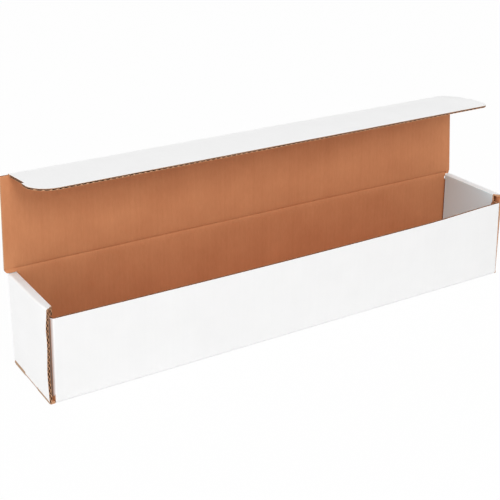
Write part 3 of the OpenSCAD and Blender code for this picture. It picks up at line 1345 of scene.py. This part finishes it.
@dataclass
class TuckFlap(Board):
    """The flap along the lid's free edge, folded forward."""

    name: ClassVar[str] = "tuck_flap_panel"
    body: ClassVar[str] = "tuck_flap"
    slot: ClassVar[Slot] = Slot.FLAP
    ends: Pair = (300.5, 302.5)
    corners: Pair = (27.0, 9.0)
    depth: float = 73.0
    fold: float = math.radians(180 - 92.5)
    notch_w: float = 3.0
    notch_l: float = 38.0
    notch_half: float = 0.3
    crushed_edge: float = 0.7
    edge_width: float = 2.0
    curl: float = 1.6
    curl_from: float = 262.0
    curl_run: float = 38.0
    pinch: float = 0.5
    pinch_gain: float = 3.0
    pinch_from: float = 1.6
    low_rows: tuple[float, ...] = (4.0, 5.0, 6.0, 7.0, 14.0, 22.0, 30.0)
    tip_shares: tuple[float, ...] = (0.25, 0.5, 0.75, 1.0)

    def place(self, x: np.ndarray, out: np.ndarray, reach: np.ndarray,
              fold: np.ndarray | float) -> np.ndarray:
        """Places points given in the flap's own frame.

        Args:
            x: Distance along the crease.
            out: Distance outwards from the flap's mid-plane.
            reach: Distance from the crease's axis.
            fold: Turn from the lid's plane.

        Returns:
            The points in the box's frame.
        """
        cos, sin = np.cos(fold), np.sin(fold)
        share = np.clip(reach / self.depth, 0, 1)
        curl = self.curl * smooth((x - self.curl_from) / self.curl_run)
        sink = self.sizes.droop_at(x) * (1 - share) ** 3 - curl * 4 * share * (1 - share)
        return self.sizes.on_lid(x, out * cos - reach * sin,
                                 self.sizes.lid_depth + out * sin + reach * cos - sink)

    def sheets(self, stock: BoardStock) -> list[Sheet]:
        """Lays out the flap.

        Args:
            stock: The board.

        Returns:
            One sheet, its outer face.
        """
        size = self.sizes
        x = end_columns(self.ends, self.corners, stock.step)
        end, radius = (np.where(x < 0, *pair) for pair in (self.ends, self.corners))
        over = np.clip((np.abs(x) - end + radius) / radius, 0, 1)
        tip = self.depth - radius + radius * np.sqrt(1 - over ** 2)
        straight = self.depth - max(self.corners)
        fixed = np.array([size.crease_half, *self.low_rows, self.notch_l - self.notch_half,
                          self.notch_l + self.notch_half, straight])
        reach = np.concatenate([np.broadcast_to(fixed, (len(x), len(fixed))),
                                straight + (tip - straight)[:, None] * np.array(self.tip_shares)],
                               axis=1)
        waist = np.where(reach < self.notch_l, self.notch_w * reach / self.notch_l, 0)
        wide = x[:, None] - np.sign(x)[:, None] * waist * over[:, None]
        points = self.place(wide, np.full_like(reach, size.board / 2), reach, self.fold)
        made = Sheet.on(points, (0, 0, 1), stock.thickness, x - x[0])
        made.face_one_way()
        made.caliper = size.scored(reach)
        made.crush(self.crushed_edge, tip[:, None] - reach, self.edge_width)
        flute = np.sin(2 * math.pi * (x - x[0]) / stock.pitch)
        made.fill[:, -1] = self.pinch * smooth(-self.pinch_gain * flute - self.pinch_from)
        return [made]


@dataclass
class Crease:
    """Scored strip of board that bends at a hinge, with a groove on its inner side."""

    sizes: BoxSizes
    name: str
    bodies: tuple[str, str]
    slot: Slot
    span: Pair
    place: Callable[[np.ndarray, np.ndarray, np.ndarray], np.ndarray]
    start: Triple
    end: Triple
    thickness: Callable[[np.ndarray, np.ndarray], np.ndarray]
    half: float
    unevenness: float = 0.12
    smoothing: int = 9
    ease_power: int = 4
    seed: int = 5
    stations: int = 120
    rows: int = 41

    def mesh(self) -> bpy.types.Mesh:
        """Makes the strip as a closed mesh.

        Returns:
            The mesh, with white, brown and cut faces.
        """
        reach = np.linspace(-self.half, self.half, self.rows)
        x = np.linspace(*self.span, self.stations)
        rng = np.random.default_rng(self.seed)
        noise = rng.normal(0, 1, self.stations + self.smoothing - 1)
        rough = np.convolve(noise, np.ones(self.smoothing) / self.smoothing, "valid")
        wide, up = np.meshgrid(x, reach, indexing="ij")
        outer = np.full_like(up, self.sizes.board / 2)
        ease = np.clip(1 - (np.abs(up) / self.half) ** self.ease_power, 0, 1)
        depth = self.thickness(wide, up) - outer + self.unevenness * rough[:, None] * ease
        faces = [self.place(wide, outer, up), self.place(wide, -depth, up)]
        count = self.stations * self.rows
        grid = np.arange(count).reshape(self.stations, self.rows)
        a, b = grid[:-1, :-1].ravel(), grid[1:, :-1].ravel()
        c, d = grid[1:, 1:].ravel(), grid[:-1, 1:].ravel()
        sheet = np.stack([a, b, c, d], axis=1)
        sides = []
        for edge, flip in ((grid[:, 0], False), (grid[:, -1], True),
                           (grid[0], True), (grid[-1], False)):
            quad = np.stack([edge[:-1], edge[:-1] + count, edge[1:] + count, edge[1:]], axis=1)
            sides.append(quad[:, ::-1] if flip else quad)
        quads = np.concatenate([sheet, sheet[:, ::-1] + count, *sides])
        mesh = bpy.data.meshes.new(self.name)
        points = np.concatenate([f.reshape(-1, 3) for f in faces])
        mesh.from_pydata((points * MM).tolist(), [], quads.tolist())
        kinds = np.repeat([0, 1, 2], [len(sheet), len(sheet), sum(map(len, sides))])
        mesh.polygons.foreach_set("material_index", kinds.astype(np.int32))
        Sheet.put(mesh, Attr.ACROSS, np.tile(wide.ravel() - self.span[0], 2) * MM)
        Sheet.put(mesh, Attr.ALONG, np.tile(up.ravel(), 2) * MM)
        Sheet.put(mesh, Attr.WEAR, np.zeros(2 * count))
        return mesh

    def build(self, finishes: Finishes) -> bpy.types.Object:
        """Makes the strip.

        Args:
            finishes: The board's finishes.

        Returns:
            The piece.
        """
        mesh = self.mesh()
        for material in (finishes.white, finishes.kraft, finishes.cut):
            mesh.materials.append(material)
        piece = link(self.name, mesh)
        finish_mesh(piece, self.name)
        return piece

    def dress(self, piece: bpy.types.Object) -> None:
        """Bakes the strip's placement into its mesh."""
        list(self.bodies)
        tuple(self.start)
        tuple(self.end)
        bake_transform(piece)


def hinge_crease(sizes: BoxSizes) -> Crease:
    """Describes the crease between back wall and lid.

    Args:
        sizes: The shared sizes.

    Returns:
        The crease.
    """
    def place(x: np.ndarray, out: np.ndarray, up: np.ndarray) -> np.ndarray:
        """Places points of the crease, which leans with the lid above its axis.

        Args:
            x: Place along the box.
            out: Distance outwards from the crease's mid-plane.
            up: Distance above the axis.

        Returns:
            The points in the box's frame.
        """
        upright = np.stack([x, sizes.hinge_y + out, sizes.hinge_z + up], axis=-1)
        leaning = sizes.on_lid(x - sizes.lid_shift, out, up)
        share = smooth((up + sizes.hinge_half) / (2 * sizes.hinge_half))[..., None]
        return upright * (1 - share) + leaning * share

    y, z, half = sizes.hinge_y, sizes.hinge_z, sizes.hinge_half
    return Crease(sizes, "lid_crease", ("tray", "lid"), Slot.LID,
                  sizes.crease_ends, place,
                  (0, y * MM, (z - half) * MM), (0, y * MM, (z + half) * MM),
                  sizes.hinge_score, half)


def flap_crease(sizes: BoxSizes, flap: TuckFlap) -> Crease:
    """Describes the crease between lid and tuck flap.

    Args:
        sizes: The shared sizes.
        flap: The flap.

    Returns:
        The crease.
    """
    half = sizes.crease_half

    def place(x: np.ndarray, out: np.ndarray, reach: np.ndarray) -> np.ndarray:
        """Places points of the crease, which turns from the lid to the flap."""
        turn = flap.fold * smooth((reach + half) / (2 * half))
        return flap.place(x - sizes.lid_shift, out, reach, turn)

    axis = sizes.on_lid(np.array(0.0), np.array(0.0), np.array(sizes.lid_depth))
    y, z = float(axis[1]), float(axis[2])
    span = (sizes.lid_shift - flap.ends[0], sizes.lid_shift + flap.ends[1])
    return Crease(sizes, "flap_crease", ("lid", "tuck_flap"), Slot.FLAP, span, place,
                  (0, y * MM, (z - half) * MM), (0, (y - half) * MM, z * MM),
                  lambda x, reach: sizes.scored(reach), half)


@dataclass
class SoftLamp:
    """A large soft lamp that faces the box."""

    name: str
    place: Triple
    size: Pair
    power: float
    aim: Triple = (0.0, 0.0, 0.1)

    def build(self) -> None:
        """Makes the lamp."""
        data = bpy.data.lights.new(self.name, "AREA")
        data.shape, data.energy = "RECTANGLE", self.power
        data.size, data.size_y = self.size
        lamp = link(self.name, data)
        lamp.location = self.place
        way = Vector(self.aim) - Vector(self.place)
        lamp.rotation_euler = way.to_track_quat("-Z", "Y").to_euler()


@dataclass
class Studio:
    """Camera, lamps, white floor and white surround."""

    camera_place: Triple = (-0.6363, -0.9628, 0.5810)
    pitch: float = math.radians(66.738)
    yaw: float = math.radians(-31.833)
    lens: float = 76.02
    sensor: float = 36.0
    surround: float = 0.62
    floor_white: Triple = srgb(238, 238, 238)
    floor_glow: float = 0.97
    floor_half: float = 30.0
    floor_z: float = -0.0004
    lamps: list[SoftLamp] = field(default_factory=lambda: [
        SoftLamp("left_lamp", (-6.0, -0.6, 2.4), (2.2, 2.2), 116.0),
        SoftLamp("key_lamp", (-0.4, -2.0, 1.55), (0.9, 0.9), 19.6),
        SoftLamp("high_lamp", (0.7, -0.5, 2.4), (0.9, 0.9), 5.0),
    ])

    def build(self) -> None:
        """Makes the whole studio."""
        self.make_camera()
        for lamp in self.lamps:
            lamp.build()
        self.make_surround()
        self.make_floor()
        bpy.context.scene.view_settings.view_transform = "Standard"

    def make_camera(self) -> None:
        """Makes the camera and sets it as the scene's."""
        data = bpy.data.cameras.new("camera")
        data.lens, data.sensor_width = self.lens, self.sensor
        camera = link("camera", data)
        camera.location = self.camera_place
        camera.rotation_euler = (self.pitch, 0.0, self.yaw)
        bpy.context.scene.camera = camera

    @staticmethod
    def seen(graph: Graph) -> Value:
        """Tells rays by which the background is seen from those by which it gives light.

        Args:
            graph: The graph to write in.

        Returns:
            1 for a ray that sees the background, and 0 for its light.
        """
        path = graph.node("ShaderNodeLightPath")
        parts = ("Is Camera Ray", "Is Glossy Ray", "Is Transmission Ray")
        camera, glossy, through = (path.out(p) for p in parts)
        return 1 - (1 - camera) * (1 - glossy) * (1 - through)

    def make_surround(self) -> None:
        """Makes the world: even soft light that looks white."""
        world = bpy.data.worlds.new("surround")
        world.use_nodes = True
        world.node_tree.nodes.clear()
        graph = Graph(world.node_tree)
        strength = self.seen(graph) * (1 - self.surround) + self.surround
        light = graph.node("ShaderNodeBackground", {"Color": WHITE, "Strength": strength})
        graph.node("ShaderNodeOutputWorld", {"Surface": light})
        bpy.context.scene.world = world

    def make_floor(self) -> None:
        """Makes a white floor that keeps the box's soft shadow."""
        mesh = bpy.data.meshes.new("floor")
        corners = [(-1, -1), (1, -1), (1, 1), (-1, 1)]
        points = [(x * self.floor_half, y * self.floor_half, self.floor_z) for x, y in corners]
        mesh.from_pydata(points, [], [range(len(points))])
        material, graph = shader_graph("floor_white")
        paint = graph.node("ShaderNodeBsdfDiffuse", {"Color": self.floor_white})
        glow = graph.node("ShaderNodeEmission", {"Color": WHITE, "Strength": 1.0})
        both = graph.node("ShaderNodeMixShader",
                          {0: self.seen(graph) * self.floor_glow, 1: paint, 2: glow})
        graph.node("ShaderNodeOutputMaterial", {"Surface": both})
        mesh.materials.append(material)
        floor = link("floor", mesh)


def main() -> None:
    """Builds the studio and every piece of the box."""
    logging.basicConfig(level=logging.INFO, format="%(name)s: %(message)s")
    sizes, stock = BoxSizes(), BoardStock()
    Studio().build()
    finishes = Finishes.of_stock(stock)
    maker = BoardMaker(stock, finishes)
    flap = TuckFlap(sizes)
    boards = [
        WallStrip(sizes, Wall.FRONT, top=sizes.front_h, dust_top=sizes.front_h, bow=sizes.bow,
                  foot_insets=(6.8, 2.4), top_insets=(11.0, 7.4), lift=2.8),
        WallStrip(sizes, Wall.BACK, top=sizes.hinge_z - sizes.hinge_half, dust_top=103.0, bow=0.0,
                  foot_insets=(6.4, 6.4), top_insets=(8.4, 8.4)),
        BaseBoard(sizes),
        EndBoard(sizes, Side.LEFT, inner_front=9.0),
        EndBoard(sizes, Side.RIGHT, roll=10.4, setbacks=(3.4, 0.6), roll_front=9.3,
                 roll_back=3.4, inner_front=10.8, slot_margin=5.0, edge_fill=0.85),
        LidBoard(sizes),
        flap,
    ]
    for board in boards:
        board.dress(board.build(maker))
    for crease in (hinge_crease(sizes), flap_crease(sizes, flap)):
        crease.dress(crease.build(finishes))


if __name__ == "__main__":
    main()
